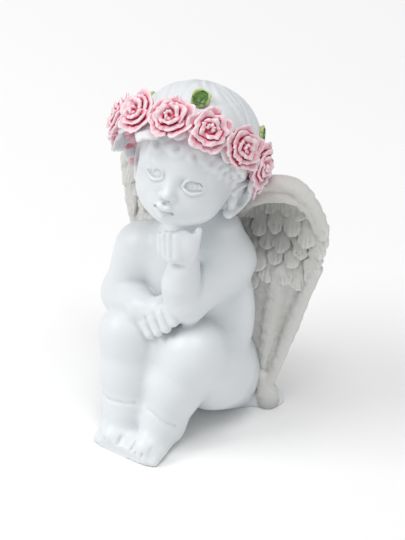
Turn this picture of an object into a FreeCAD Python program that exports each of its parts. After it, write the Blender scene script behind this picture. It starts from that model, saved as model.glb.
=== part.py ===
import FreeCAD, Part
import math
import os

# Resin cherub figurine, seated, chin on its left hand, with a rose garland.
# Millimetres. +Z is up, the figure faces -Y and its left side is +X.
# The origin is on the table, under the middle of the figure's box.

Vector = FreeCAD.Vector
Rotation = FreeCAD.Rotation
Placement = FreeCAD.Placement

doc = FreeCAD.newDocument("resin_cherub")
os.makedirs("parts", exist_ok=True)
sheet = doc.addObject("Spreadsheet::Sheet", "sizes")

# Joint balls of the limbs: centre x, y, z and radius of the flesh there.
JOINTS = {
    "left_hip": (12, 11, 21, 17),
    "left_knee": (15.5, -5.5, 38, 11.8),
    "left_calf": (11.0, -11.5, 23.5, 10.6),
    "left_ankle": (8.8, -17, 9.5, 8.2),
    "left_foot": (10.4, -27.6, 5.4, 6.5),
    "right_hip": (-12, 11, 21, 16),
    "right_knee": (-12, -10, 38.5, 11.4),
    "right_calf": (-9.6, -15, 24, 10.8),
    "right_ankle": (-7, -20, 9.5, 8.2),
    "right_foot": (-4.8, -27.6, 5.4, 6.8),
    "left_shoulder": (18.3, 13, 72.5, 10.2),
    "left_elbow": (12, -5.5, 60.3, 8.4),
    "left_wrist": (12.4, -7.2, 76, 6.5),
    "left_palm": (11.2, -8.8, 84, 5.6),
    "right_shoulder": (-19.5, 6, 67, 10.2),
    "right_elbow": (-23.5, 1, 47.5, 9.4),
    "right_wrist": (-7.5, -8.5, 51.5, 6.5),
    "right_palm": (0.6, -10, 52.8, 5.6),
    "collar_left": (15, 12, 73, 9),
    "collar_right": (-15, 7, 69, 9.2),
    "neck_root": (1, 10, 76, 9.6),
    "neck_top": (3, 8.5, 93, 9),
}

# Fleshy masses and head features: centre x, y, z and half sizes x, y, z.
TORSO = {
    "pelvis": (0, 18, 16, 21, 15.5, 18),
    "belly": (1, 14, 36, 19, 15.2, 19),
    "chest": (1, 10, 58, 18, 13, 18),
    "back": (2, 14, 47, 23, 9.8, 33),
    "left_buttock": (11, 20, 14, 15.5, 13.5, 17),
    "right_buttock": (-11, 20, 14, 15.5, 13.5, 17),
    "left_wedge": (21, 26, 0.5, 9, 8, 5),
    "right_wedge": (-21, 26, 0.5, 9, 8, 5),
}

# Head features are placed from the middle of the head, before it is tilted.
HEAD = {
    "face": (1.4, -5, -7, 17.4, 17.5, 17.5),
    "left_ear": (21.5, 1, -9, 3.4, 5, 7.5),
    "right_ear": (-21.5, 1, -9, 3.4, 5, 7.5),
}

# Round head features: centre x, y, z and radius.
HEAD_BALLS = {
    "hair": (0, 4.2, 4.2, 23.8),
    "left_cheek": (8.4, -11.8, -11.2, 8.4),
    "right_cheek": (-5.9, -11.5, -11.4, 7.7),
    "jaw": (0.7, -11.6, -13.4, 8.9),
    "nose": (0.5, -22, -8.4, 2.5),
}

SIZES = {
    # taper: how far each limb cone stays inside the balls at its ends
    "taper": 0.985,
    "table_side": 160,
    # head
    "head_x": 3.8,
    "head_y": 8.2,
    "head_z": 115.0,
    "head_turn": 18,
    "head_lean": 13,
    "head_nod": -12,
    # digits
    "toe_size": 2.8,
    "toe_space": 2.55,
    "toe_reach": 6.1,
    "toe_curve": 0.35,
    "toe_drop": -1.7,
    "finger_root": 2.5,
    "finger_tip": 2.2,
    # dowels
    "neck_dowel_size": 4,
    "neck_dowel_length": 26,
    "wing_dowel_size": 2,
    "wing_dowel_length": 14,
    "wing_dowel_side": 13,
    "wing_dowel_start": 10.5,
    "wing_dowel_low": 68,
    "wing_dowel_high": 80,
    # wings: root is where the swept back face crosses the figure's middle
    "wing_sweep": 15,
    "wing_root": 23.2,
    "wing_rim": 7,
    "wing_plate": 3.6,
    "feather_step": 0.8,
    "feather_width": 6.6,
    "feather_length": 9.5,
    "feather_space": 0.5,
    "feather_drop": 0.5,
    # garland
    "rose_count": 12,
    "rose_first": 21,
    "rose_root": 6.8,
    "rose_spread": 8.1,
    "rose_depth": 5.2,
    "band_flat": 26.8,
    "band_bore": 20,
    "band_width": 9,
    "band_tilt": 37,
    "band_lean": 3.6,
    "band_side": -1.2,
    "band_back": 0.5,
    "band_rise": 3,
    "leaf_count": 4,
    "leaf_first": 1,
    "leaf_length": 8.5,
    "leaf_width": 7,
    "leaf_thick": 2.8,
    "leaf_sink": 1.2,
    "leaf_rise": 23,
}


def write_sheet():
    """Put every size on the sheet under its own alias."""
    values = dict(SIZES)
    for name, numbers in list(JOINTS.items()) + list(HEAD_BALLS.items()):
        for part, number in zip(("x", "y", "z", "r"), numbers):
            values[name + "_" + part] = number
    for name, numbers in list(TORSO.items()) + list(HEAD.items()):
        for part, number in zip(("x", "y", "z", "wide", "deep", "tall"), numbers):
            values[name + "_" + part] = number
    for row, (name, number) in enumerate(values.items(), start=1):
        sheet.set("A" + str(row), name)
        sheet.set("B" + str(row), str(number))
        sheet.setAlias("B" + str(row), name)
    doc.recompute()


def size(name):
    """Read one number back from the sheet."""
    return float(sheet.get(name))


def spot(name):
    """Read a point's place from the sheet."""
    return Vector(size(name + "_x"), size(name + "_y"), size(name + "_z"))


def head_placement():
    """Where the tilted, turned head sits."""
    turn = Rotation(Vector(0, 0, 1), size("head_turn"))
    lean = Rotation(Vector(0, 1, 0), size("head_lean"))
    nod = Rotation(Vector(1, 0, 0), size("head_nod"))
    return Placement(spot("head"), turn * lean * nod)


def garland_tilt():
    """The slant of the garland on the head: low at the back and to the right."""
    lean = Rotation(Vector(0, 1, 0), -size("band_lean"))
    return lean * Rotation(Vector(1, 0, 0), -size("band_tilt"))


def garland_placement():
    """The garland's own plane on the head."""
    middle = Vector(size("band_side"), size("band_back"), size("band_rise"))
    return head_placement() * Placement(middle, garland_tilt())


def aim(start, end):
    """A placement at start whose Z axis points to end."""
    return Placement(start, Rotation(Vector(0, 0, 1), end - start))


def ball(point, frame=Placement()):
    """A ball of flesh at a named point of the given frame."""
    shape = doc.addObject("Part::Sphere", point + "_ball")
    shape.setExpression("Radius", "sizes." + point + "_r")
    shape.Placement = frame * Placement(spot(point), Rotation())
    return shape


def bone(start, end):
    """The tapered flesh between two joints."""
    shape = doc.addObject("Part::Cone", start + "_to_" + end)
    shape.setExpression("Radius1", "sizes." + start + "_r * sizes.taper")
    shape.setExpression("Radius2", "sizes." + end + "_r * sizes.taper")
    squares = ["(sizes.{0}_{2} - sizes.{1}_{2})^2".format(start, end, axis) for axis in "xyz"]
    shape.setExpression("Height", "sqrt(" + " + ".join(squares) + ")")
    shape.Placement = aim(spot(start), spot(end))
    return shape


def chain(*joints):
    """A limb: a ball at each joint and a cone between neighbours."""
    balls = [ball(joint) for joint in joints]
    bones = [bone(start, end) for start, end in zip(joints[:-1], joints[1:])]
    return balls + bones


def mass(name, frame=Placement()):
    """One rounded mass, placed in the given frame."""
    shape = doc.addObject("Part::Ellipsoid", name)
    shape.setExpression("Radius1", "sizes." + name + "_tall")
    shape.setExpression("Radius2", "sizes." + name + "_wide")
    shape.setExpression("Radius3", "sizes." + name + "_deep")
    shape.Angle1 = -90
    shape.Placement = frame * Placement(spot(name), Rotation())
    return shape


def toes(side, foot):
    """Five round toes across the front of one foot."""
    shapes = []
    for number in range(5):
        name = side + "_toe_" + str(number + 1)
        across = (number - 2) * size("toe_space")
        reach = size("toe_reach") - size("toe_curve") * (number - 2) ** 2
        toe = doc.addObject("Part::Sphere", name)
        toe.setExpression("Radius", "sizes.toe_size")
        toe.Placement.Base = spot(foot) + Vector(across, -reach, size("toe_drop"))
        shapes.append(toe)
    return shapes


# Fingers of each hand: the first knuckle, the step to the next one, and the
# reach from a knuckle to its fingertip.
FINGERS = {
    "left": ((6.4, -11.2, 84.2), (2.1, 0, 0.1), (-0.6, -0.5, 6.4)),
    "right": ((-2.4, -12.4, 48.6), (3.5, 0.3, 3.1), (3, -1.4, -3.2)),
}


def fingers(side):
    """Four fingers, each a tapered rod with a rounder tip."""
    first, step, reach = [Vector(*numbers) for numbers in FINGERS[side]]
    shapes = []
    for number in range(4):
        name = side + "_finger_" + str(number + 1)
        knuckle = first + step * number
        end = knuckle + reach
        rod = doc.addObject("Part::Cone", name)
        rod.setExpression("Radius1", "sizes.finger_root")
        rod.setExpression("Radius2", "sizes.finger_tip * 0.85")
        rod.Height = reach.Length
        rod.Placement = aim(knuckle, end)
        tip = doc.addObject("Part::Sphere", name + "_tip")
        tip.setExpression("Radius", "sizes.finger_tip")
        tip.Placement.Base = end
        shapes += [rod, tip]
    return shapes


def fuse(name, shapes):
    """Join shapes into one solid."""
    joined = doc.addObject("Part::MultiFuse", name)
    joined.Shapes = shapes
    joined.Refine = False
    return joined


def cut(name, base, tool):
    """Take one shape away from another."""
    result = doc.addObject("Part::Cut", name)
    result.Base = base
    result.Tool = tool
    result.Refine = False
    return result


def dowel(name, radius, length, start, direction):
    """A round pin."""
    pin = doc.addObject("Part::Cylinder", name)
    pin.setExpression("Radius", "sizes." + radius)
    pin.setExpression("Height", "sizes." + length)
    pin.Placement = aim(start, start + direction)
    return pin


def body_mass():
    """Torso, legs and arms, flat under the seat and the feet."""
    shapes = [mass(name) for name in TORSO]
    shapes += chain("left_hip", "left_knee", "left_calf", "left_ankle", "left_foot")
    shapes += chain("right_hip", "right_knee", "right_calf", "right_ankle", "right_foot")
    shapes += chain("left_shoulder", "left_elbow", "left_wrist", "left_palm")
    shapes += chain("right_shoulder", "right_elbow", "right_wrist", "right_palm")
    shapes += chain("collar_left", "collar_right")
    shapes += chain("neck_root", "neck_top")
    shapes += toes("left", "left_foot")
    shapes += toes("right", "right_foot")
    shapes += fingers("left")
    shapes += fingers("right")
    flesh = fuse("body_flesh", shapes)
    table = doc.addObject("Part::Box", "table")
    for side in ("Length", "Width", "Height"):
        table.setExpression(side, "sizes.table_side")
    side = size("table_side")
    table.Placement.Base = Vector(-side / 2, -side / 2, -side)
    return cut("body_on_table", flesh, table)


def head_mass():
    """Hair, face and ears, tilted and turned together."""
    frame = head_placement()
    balls = [ball(name, frame) for name in HEAD_BALLS]
    return fuse("head_flesh", balls + [mass(name, frame) for name in HEAD])


def closed_outline(sketch, points):
    """A smooth closed curve through the points, added to a sketch."""
    curve = Part.BSplineCurve()
    curve.interpolate([Vector(x, y, 0) for x, y in points], PeriodicFlag=True)
    sketch.addGeometry(curve, False)


def feather_outline(sketch, root, angle):
    """A tongue with a round tip, hanging from root, added to a sketch."""
    half = size("feather_width") / 2 - size("feather_space") / 2
    length = size("feather_length")
    turn = Rotation(Vector(0, 0, 1), angle)
    flat = ((-half, 0), (-half, -length), (half, -length), (half, 0))
    corners = [turn.multVec(Vector(x, z, 0)) + root for x, z in flat]
    tip = turn.multVec(Vector(0, -length - half, 0)) + root
    sketch.addGeometry(Part.LineSegment(corners[1], corners[0]), False)
    sketch.addGeometry(Part.LineSegment(corners[0], corners[3]), False)
    sketch.addGeometry(Part.LineSegment(corners[3], corners[2]), False)
    sketch.addGeometry(Part.Arc(corners[2], tip, corners[1]), False)


def plane(body, role):
    """One of a body's own origin planes."""
    return [item for item in body.Origin.OriginFeatures if item.Role == role][0]


def sketch_on(body, name, role="XZ_Plane"):
    """A new sketch on one of the body's origin planes."""
    sketch = body.newObject("Sketcher::SketchObject", name)
    sketch.AttachmentSupport = [(plane(body, role), "")]
    sketch.MapMode = "FlatFace"
    return sketch


def pad(body, name, sketch, length):
    """Raise a sketch by a length given as an expression."""
    raised = body.newObject("PartDesign::Pad", name)
    raised.Profile = sketch
    raised.setExpression("Length", length)
    body.Tip = raised
    return raised


# Outline of a wing seen from the front, from the root over the top and down
# the outer edge to the foot; x is outward from the figure's middle.
WING_OUTLINE = (
    (8, 82), (17, 97), (28, 106), (38, 106.5), (47, 100), (51.4, 86), (50.4, 70), (46.5, 55),
    (41.5, 39), (36, 25), (32, 12), (31.5, -2), (24, -2), (21.5, 10), (19, 25), (14, 40), (9, 60),
)
# Inside edge of the raised rim, where the feathers start.
WING_HOLLOW = (
    (12, 78), (17, 86), (24, 93.5), (32.5, 97), (40, 94.5), (45.5, 84), (45.8, 71), (42.5, 57),
    (37.5, 43), (32, 29), (27, 24), (21, 42), (14, 60),
)
# Rows of small feathers: height of the roots, first x, count and lean.
FEATHER_ROWS = (
    (93.5, 23.5, 3, 8), (85, 20.5, 4, 8), (77, 23.5, 4, 6), (69, 20, 4, 4),
)


def wing(side, sign):
    """One wing: a raised rim round a hollow filled with rows of feathers."""
    body = doc.addObject("PartDesign::Body", side + "_wing_carving")
    outline = sketch_on(body, side + "_wing_outline")
    closed_outline(outline, [(sign * x, z) for x, z in WING_OUTLINE])
    pad(body, side + "_wing_slab", outline, "sizes.wing_rim")
    hollow_sketch = sketch_on(body, side + "_wing_hollow_outline")
    hollow_sketch.setExpression("AttachmentOffset.Base.z", "sizes.wing_plate")
    closed_outline(hollow_sketch, [(sign * x, z) for x, z in WING_HOLLOW])
    hollow = body.newObject("PartDesign::Pocket", side + "_wing_hollow")
    hollow.Profile = hollow_sketch
    hollow.Reversed = True
    hollow.setExpression("Length", "sizes.wing_rim")
    body.Tip = hollow
    for row, (height, first, count, lean) in enumerate(FEATHER_ROWS, start=1):
        sketch = sketch_on(body, side + "_feather_row_" + str(row) + "_outline")
        for number in range(count):
            across = first + number * size("feather_width")
            root = Vector(sign * across, height - number * size("feather_drop"), 0)
            feather_outline(sketch, root, sign * lean * number / count)
        layer = len(FEATHER_ROWS) - row + 1
        length = "sizes.wing_plate + sizes.feather_step * " + str(layer)
        pad(body, side + "_feather_row_" + str(row), sketch, length)
    sweep = Rotation(Vector(0, 0, 1), sign * size("wing_sweep"))
    body.Placement = Placement(Vector(0, size("wing_root"), 0), sweep)
    return body


def rose(number):
    """A rose with three rings of petals, its flat back on the garland band."""
    name = "rose_" + str(number)
    body = doc.addObject("PartDesign::Body", name)
    body.Label = name
    sketch = sketch_on(body, name + "_profile")
    root = size("rose_root")
    spread = size("rose_spread")
    depth = size("rose_depth")
    rings = (
        (0, 0), (root, 0), (spread, 0.62 * depth), (0.9 * spread, 0.74 * depth),
        (0.72 * spread, 0.5 * depth), (0.64 * spread, 0.9 * depth), (0.5 * spread, 0.94 * depth),
        (0.42 * spread, 0.6 * depth), (0.33 * spread, depth), (0.2 * spread, depth),
        (0.14 * spread, 0.7 * depth), (0, 0.8 * depth),
    )
    corners = [Vector(x, z, 0) for x, z in rings]
    for start, end in zip(corners, corners[1:] + corners[:1]):
        sketch.addGeometry(Part.LineSegment(start, end), False)
    turned = body.newObject("PartDesign::Revolution", name + "_petals")
    turned.Profile = sketch
    turned.ReferenceAxis = (sketch, ["V_Axis"])
    turned.Angle = 360
    body.Tip = turned
    angle = size("rose_first") + (number - 1) * 360 / size("rose_count")
    outward = Rotation(Vector(0, 0, 1), angle) * Rotation(Vector(1, 0, 0), 90)
    seat = Rotation(Vector(0, 0, 1), angle).multVec(Vector(0, -size("band_flat"), 0))
    body.Placement = garland_placement() * Placement(seat, outward)
    return body


def band_ring():
    """The ring under the flowers, with one flat for each rose."""
    body = doc.addObject("PartDesign::Body", "band_ring")
    sketch = sketch_on(body, "band_outline", "XY_Plane")
    count = int(size("rose_count"))
    step = 360 / count
    reach = size("band_flat") / math.cos(math.radians(step / 2))
    corners = []
    for number in range(count):
        angle = size("rose_first") + (number + 0.5) * step
        corners.append(Rotation(Vector(0, 0, 1), angle).multVec(Vector(0, -reach, 0)))
    for start, end in zip(corners, corners[1:] + corners[:1]):
        sketch.addGeometry(Part.LineSegment(start, end), False)
    sketch.addGeometry(Part.Circle(Vector(), Vector(0, 0, 1), size("band_bore")), False)
    ring = pad(body, "band_width_pad", sketch, "sizes.band_width")
    ring.Midplane = True
    body.Placement = garland_placement()
    return body


def on_hair(angle, rise):
    """A seat on the hair, at an angle round the garland and a rise above its plane."""
    around = garland_tilt() * Rotation(Vector(0, 0, 1), angle) * Rotation(Vector(1, 0, 0), -rise)
    outward = around.multVec(Vector(0, -1, 0))
    reach = size("hair_r") - size("leaf_sink")
    return Placement(spot("hair") + outward * reach, around)


def leaf(number):
    """One leaf lying on the hair above the roses."""
    name = "leaf_" + str(number)
    body = doc.addObject("PartDesign::Body", name + "_blade")
    sketch = sketch_on(body, name + "_outline")
    half = size("leaf_width") / 2
    tip = size("leaf_length") / 2
    top = Vector(0, tip, 0)
    low = Vector(0, -tip, 0)
    sketch.addGeometry(Part.Arc(low, Vector(half, 0, 0), top), False)
    sketch.addGeometry(Part.Arc(top, Vector(-half, 0, 0), low), False)
    pad(body, name + "_pad", sketch, "sizes.leaf_thick")
    angle = size("leaf_first") + (number - 1) * 360 / size("leaf_count")
    body.Placement = head_placement() * on_hair(angle, size("leaf_rise"))
    return body


def join_pins(name, pins):
    """Keep several loose pins together as one node."""
    group = doc.addObject("Part::Compound", name)
    group.Links = pins
    return group


def save(node, label, count=1):
    """Name a finished piece, check that it is the solids expected, and write its file."""
    node.Label = label
    shape = node.Shape
    if shape.isNull() or not shape.isValid():
        raise RuntimeError(label + " has no valid shape")
    if len(shape.Solids) != count:
        raise RuntimeError(label + " has " + str(len(shape.Solids)) + " solids")
    shape.exportStep("parts/" + label + ".step")
    box = shape.BoundBox
    print(label, len(shape.Solids), "solids", round(shape.Volume), "mm3", box)


write_sheet()

neck_start = spot("neck_top") - Vector(0, 0, size("neck_dowel_length") / 2)
neck_pin = dowel("neck_dowel", "neck_dowel_size", "neck_dowel_length", neck_start, Vector(0, 0, 1))
pins = []
for sign, side in ((1, "left"), (-1, "right")):
    for level in ("low", "high"):
        height = size("wing_dowel_" + level)
        start = Vector(sign * size("wing_dowel_side"), size("wing_dowel_start"), height)
        name = side + "_" + level + "_wing_dowel"
        pins.append(dowel(name, "wing_dowel_size", "wing_dowel_length", start, Vector(0, 1, 0)))
wing_pins = join_pins("wing_dowels", pins)

flesh = body_mass()
head_flesh = head_mass()
body_bored = cut("body_neck_bored", flesh, neck_pin)
body = cut("body_casting", body_bored, wing_pins)
head_seated = cut("head_on_neck", head_flesh, flesh)
head = cut("head_casting", head_seated, neck_pin)
wings = []
for sign, side in ((1, "left"), (-1, "right")):
    on_back = cut(side + "_wing_on_back", wing(side, sign), flesh)
    on_table = cut(side + "_wing_on_table", on_back, doc.getObject("table"))
    wings.append(cut(side + "_wing", on_table, wing_pins))
band_on_face = cut("band_on_face", band_ring(), doc.getObject("face"))
band = cut("garland_band", band_on_face, doc.getObject("hair_ball"))
roses = [rose(number) for number in range(1, int(size("rose_count")) + 1)]
leaves = [
    cut("leaf_" + str(number), leaf(number), doc.getObject("hair_ball"))
    for number in range(1, int(size("leaf_count")) + 1)
]

doc.recompute()
for item in doc.Objects:
    if "Invalid" in item.State or "Error" in item.State:
        raise RuntimeError(item.Name + " did not build")

save(body, "body_casting")
save(head, "head_casting")
save(neck_pin, "neck_dowel")
save(wing_pins, "wing_dowels", len(pins))
save(wings[0], "left_wing")
save(wings[1], "right_wing")
save(band, "garland_band")
for number, flower in enumerate(roses, start=1):
    save(flower, "rose_" + str(number))
for number, blade in enumerate(leaves, start=1):
    save(blade, "leaf_" + str(number))
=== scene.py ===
import math

import bpy
import numpy as np
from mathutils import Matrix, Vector


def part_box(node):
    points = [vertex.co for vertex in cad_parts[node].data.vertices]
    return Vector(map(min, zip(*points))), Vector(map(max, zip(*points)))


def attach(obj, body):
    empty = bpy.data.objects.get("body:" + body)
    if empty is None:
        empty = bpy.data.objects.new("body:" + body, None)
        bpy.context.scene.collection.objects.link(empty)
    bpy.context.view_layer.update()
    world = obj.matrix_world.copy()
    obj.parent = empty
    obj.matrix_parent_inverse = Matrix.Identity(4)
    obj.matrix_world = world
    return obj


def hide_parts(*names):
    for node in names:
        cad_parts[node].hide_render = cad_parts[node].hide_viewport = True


# Resin cherub with a rose garland: the visible model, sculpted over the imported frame.
# All sculpting is in millimetres; meshes are scaled to metres when they are made.
# The figure faces -Y, its left side is +X, and the table is at z = 0.

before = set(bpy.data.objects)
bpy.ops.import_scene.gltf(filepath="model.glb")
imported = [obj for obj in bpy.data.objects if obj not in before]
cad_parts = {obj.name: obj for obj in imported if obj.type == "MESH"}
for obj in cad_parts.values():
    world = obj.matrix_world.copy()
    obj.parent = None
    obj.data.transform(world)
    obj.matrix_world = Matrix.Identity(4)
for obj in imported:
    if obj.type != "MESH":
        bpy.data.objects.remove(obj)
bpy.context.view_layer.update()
MM = 0.001


# ---- clay engine

def turn(axis, degrees):
    """Rotation matrix about one axis."""
    c = math.cos(math.radians(degrees))
    s = math.sin(math.radians(degrees))
    rows = {
        "x": ((1, 0, 0), (0, c, -s), (0, s, c)),
        "y": ((c, 0, s), (0, 1, 0), (-s, 0, c)),
        "z": ((c, -s, 0), (s, c, 0), (0, 0, 1)),
    }
    return np.array(rows[axis], float)


def smooth_min(a, b, blend):
    """Union of two distance fields with a rounded seam."""
    if blend <= 0:
        return np.minimum(a, b)
    h = np.clip(0.5 + 0.5 * (b - a) / blend, 0, 1)
    return b + (a - b) * h - blend * h * (1 - h)


class Shape:
    """A solid given by its distance field and the box that holds it."""

    def __init__(self, low, high, distance):
        self.low = np.array(low, float)
        self.high = np.array(high, float)
        self.distance = distance


def egg(centre, radii, spin=None):
    """An ellipsoid, optionally rotated."""
    middle = np.array(centre, float)
    r = np.array([radii] * 3 if np.isscalar(radii) else radii, float)
    axes = np.eye(3) if spin is None else np.array(spin, float)
    half = np.sqrt(((axes * r) ** 2).sum(1))

    def distance(x, y, z):
        x, y, z = x - middle[0], y - middle[1], z - middle[2]
        local = [x * axes[0, i] + y * axes[1, i] + z * axes[2, i] for i in range(3)]
        near = np.sqrt(sum((local[i] / r[i]) ** 2 for i in range(3)))
        slope = np.sqrt(sum((local[i] / r[i] ** 2) ** 2 for i in range(3))) + 1e-6
        return near * (near - 1) / slope

    return Shape(middle - half, middle + half, distance)


def string(points, radii):
    """A chain of tapered round rods through the points."""
    p = np.array(points, float)
    r = np.array([radii] * len(p) if np.isscalar(radii) else radii, float)

    def distance(x, y, z):
        best = None
        for a, b, ra, rb in zip(p[:-1], p[1:], r[:-1], r[1:]):
            e = b - a
            along = (x - a[0]) * e[0] + (y - a[1]) * e[1] + (z - a[2]) * e[2]
            t = np.clip(along / max(e @ e, 1e-9), 0, 1)
            dx, dy, dz = x - a[0] - t * e[0], y - a[1] - t * e[1], z - a[2] - t * e[2]
            d = np.sqrt(dx * dx + dy * dy + dz * dz) - (ra + (rb - ra) * t)
            best = d if best is None else np.minimum(best, d)
        return best

    return Shape((p - r[:, None]).min(0), (p + r[:, None]).max(0), distance)


def rod(start, end, start_radius, end_radius):
    """One tapered round rod."""
    return string([start, end], [start_radius, end_radius])


def curve(points, steps=6):
    """A smooth line through the points."""
    p = np.array(points, float)
    q = np.vstack([2 * p[0] - p[1], p, 2 * p[-1] - p[-2]])
    line = []
    for i in range(len(p) - 1):
        a, b, c, d = q[i:i + 4]
        for t in np.arange(steps) / steps:
            bend = (2 * a - 5 * b + 4 * c - d) * t * t + (3 * b - a - 3 * c + d) * t ** 3
            line.append(0.5 * (2 * b + (c - a) * t + bend))
    line.append(p[-1])
    return np.array(line)


def taper(count, start, middle, end):
    """Radii along a line that swell in the middle."""
    t = np.linspace(0, 1, count)
    return np.where(t < 0.5, start + (middle - start) * 2 * t, middle + (end - middle) * (2 * t - 1))


def relax(values, faces, push):
    """Move each corner's values towards (or away from) the mean of its neighbours."""
    count = len(values)
    start = faces.ravel()
    end = np.roll(faces, -1, axis=1).ravel()
    near = np.bincount(start, minlength=count) + np.bincount(end, minlength=count)
    means = np.empty_like(values)
    for column in range(values.shape[1]):
        v = values[:, column]
        total = np.bincount(start, v[end], count) + np.bincount(end, v[start], count)
        means[:, column] = total / np.maximum(near, 1)
    return values + push * (means - values)


CORNERS = [(i, j, k) for i in (0, 1) for j in (0, 1) for k in (0, 1)]
Y_AXIS = 1
Z_AXIS = 2
FAR_FROM_CLAY = 50.0
WAVE_COUNT = 9


class Clay:
    """A block of space that shapes are added to and cut from."""

    def __init__(self, low, high, step):
        self.step = step
        self.low = np.array(low, float)
        self.count = np.ceil((np.array(high) - self.low) / step).astype(int) + 1
        self.field = np.full(self.count, FAR_FROM_CLAY, np.float32)

    def window(self, shape, pad):
        """The part of the block within a margin of a shape, and its x, y and z."""
        a = np.clip(np.floor((shape.low - pad - self.low) / self.step).astype(int), 0, self.count - 1)
        b = np.clip(np.ceil((shape.high + pad - self.low) / self.step).astype(int) + 1, 1, self.count)
        axes = [(self.low[i] + self.step * np.arange(a[i], b[i])).astype(np.float32) for i in range(3)]
        return tuple(slice(i, j) for i, j in zip(a, b)), np.meshgrid(*axes, indexing="ij", sparse=True)

    def add(self, shape, blend=0.0):
        """Join a shape on, with a seam as soft as the blend."""
        where, grid = self.window(shape, 1.3 * blend + 2 * self.step)
        self.field[where] = smooth_min(self.field[where], shape.distance(*grid), blend)

    def cut(self, shape, blend=0.0):
        """Take a shape away."""
        where, grid = self.window(shape, 1.3 * blend + 2 * self.step)
        self.field[where] = -smooth_min(-self.field[where], shape.distance(*grid), blend)

    def roll(self, line, start, middle, end, blend):
        """Add a round strand along a line, of the given radii at its start, middle and end."""
        self.add(string(line, taper(len(line), start, middle, end)), blend)

    def land(self, start, target):
        """The outermost solid point on the way from start through target."""
        heading = np.array(target, float) - np.array(start, float)
        heading /= np.linalg.norm(heading)
        track = np.array(start, float) + np.arange(2, 40, 0.1)[:, None] * heading
        cells = np.clip(np.round((track - self.low) / self.step).astype(int), 0, self.count - 1)
        solid = np.nonzero(self.field[tuple(cells.T)] < 0)[0]
        return track[solid[-1]]

    def trim(self, axis, limit):
        """Cut the clay flat at the lowest place allowed along an axis."""
        size = [1, 1, 1]
        size[axis] = -1
        place = self.low[axis] + self.step * np.arange(self.count[axis])
        self.field = np.maximum(self.field, (limit - place).reshape(size).astype(np.float32))

    def crowding(self, reach, places):
        """Share of solid around each place: high in creases, low on ridges."""
        share = np.clip(0.5 - self.field / self.step, 0, 1)
        half = max(1, int(round(reach / self.step)))
        for axis in (0, 1, 2):
            padded = np.concatenate([np.zeros_like(share.take([0], axis)), np.cumsum(share, axis)], axis)
            top = np.minimum(np.arange(share.shape[axis]) + half + 1, share.shape[axis])
            bottom = np.maximum(np.arange(share.shape[axis]) - half, 0)
            share = (padded.take(top, axis) - padded.take(bottom, axis)) / (2 * half + 1)
        base = np.clip(places.astype(int), 0, np.array(share.shape) - 2)
        part = places - base
        total = np.zeros(len(places))
        for corner in CORNERS:
            weight = np.prod(np.where(corner, part, 1 - part), axis=1)
            total += weight * share[tuple((base + corner).T)]
        return total

    def skin(self, reach):
        """Surface of the clay: corner points, four-sided faces and crease values."""
        d = self.field
        inside = d < 0
        filled = sum(
            inside[i:i + d.shape[0] - 1, j:j + d.shape[1] - 1, k:k + d.shape[2] - 1].astype(np.int8)
            for i, j, k in CORNERS
        )
        cells = np.argwhere((filled > 0) & (filled < 8))
        number = np.full(filled.shape, -1, np.int32)
        number[tuple(cells.T)] = np.arange(len(cells))
        total = np.zeros((len(cells), 3))
        hits = np.zeros(len(cells))
        for corner in CORNERS:
            for axis in range(3):
                if corner[axis]:
                    continue
                other = list(corner)
                other[axis] = 1
                va = d[tuple((cells + corner).T)].astype(float)
                vb = d[tuple((cells + other).T)].astype(float)
                crossed = (va < 0) != (vb < 0)
                t = np.where(crossed, va / np.where(crossed, va - vb, 1), 0)
                point = np.array(corner, float) + t[:, None] * (np.array(other) - corner)
                total += point * crossed[:, None]
                hits += crossed
        places = cells + total / hits[:, None]
        faces = []
        for axis in range(3):
            low_side = [slice(None)] * 3
            high_side = [slice(None)] * 3
            low_side[axis] = slice(0, -1)
            high_side[axis] = slice(1, None)
            first = inside[tuple(low_side)]
            edges = np.argwhere(first != inside[tuple(high_side)])
            u, v = (axis + 1) % 3, (axis + 2) % 3
            room = (edges[:, u] > 0) & (edges[:, v] > 0)
            room &= (edges[:, u] < d.shape[u] - 1) & (edges[:, v] < d.shape[v] - 1)
            edges = edges[room]
            ring = []
            for du, dv in ((1, 1), (0, 1), (0, 0), (1, 0)):
                cell = edges.copy()
                cell[:, u] -= du
                cell[:, v] -= dv
                ring.append(number[tuple(cell.T)])
            quads = np.stack(ring, 1)
            flip = ~first[tuple(edges.T)]
            quads[flip] = quads[flip][:, ::-1]
            faces.append(quads)
        faces = np.vstack(faces)
        crease = self.crowding(reach, places)
        for push in (0.5, -0.53, 0.5, -0.53):
            places = relax(places, faces, push)
        crease = relax(crease[:, None], faces, 0.5)[:, 0]
        return places * self.step + self.low, faces, crease


def waves(points, length, seed):
    """Smooth random unevenness, about -1 to 1, with the given wave length."""
    rng = np.random.default_rng(seed)
    total = np.zeros(len(points))
    for _ in range(WAVE_COUNT):
        direction = rng.normal(size=3)
        direction *= 2 * math.pi / (np.linalg.norm(direction) * length * rng.uniform(0.7, 1.5))
        total += np.sin(points @ direction + rng.uniform(0, 2 * math.pi))
    return total / math.sqrt(WAVE_COUNT)


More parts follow.
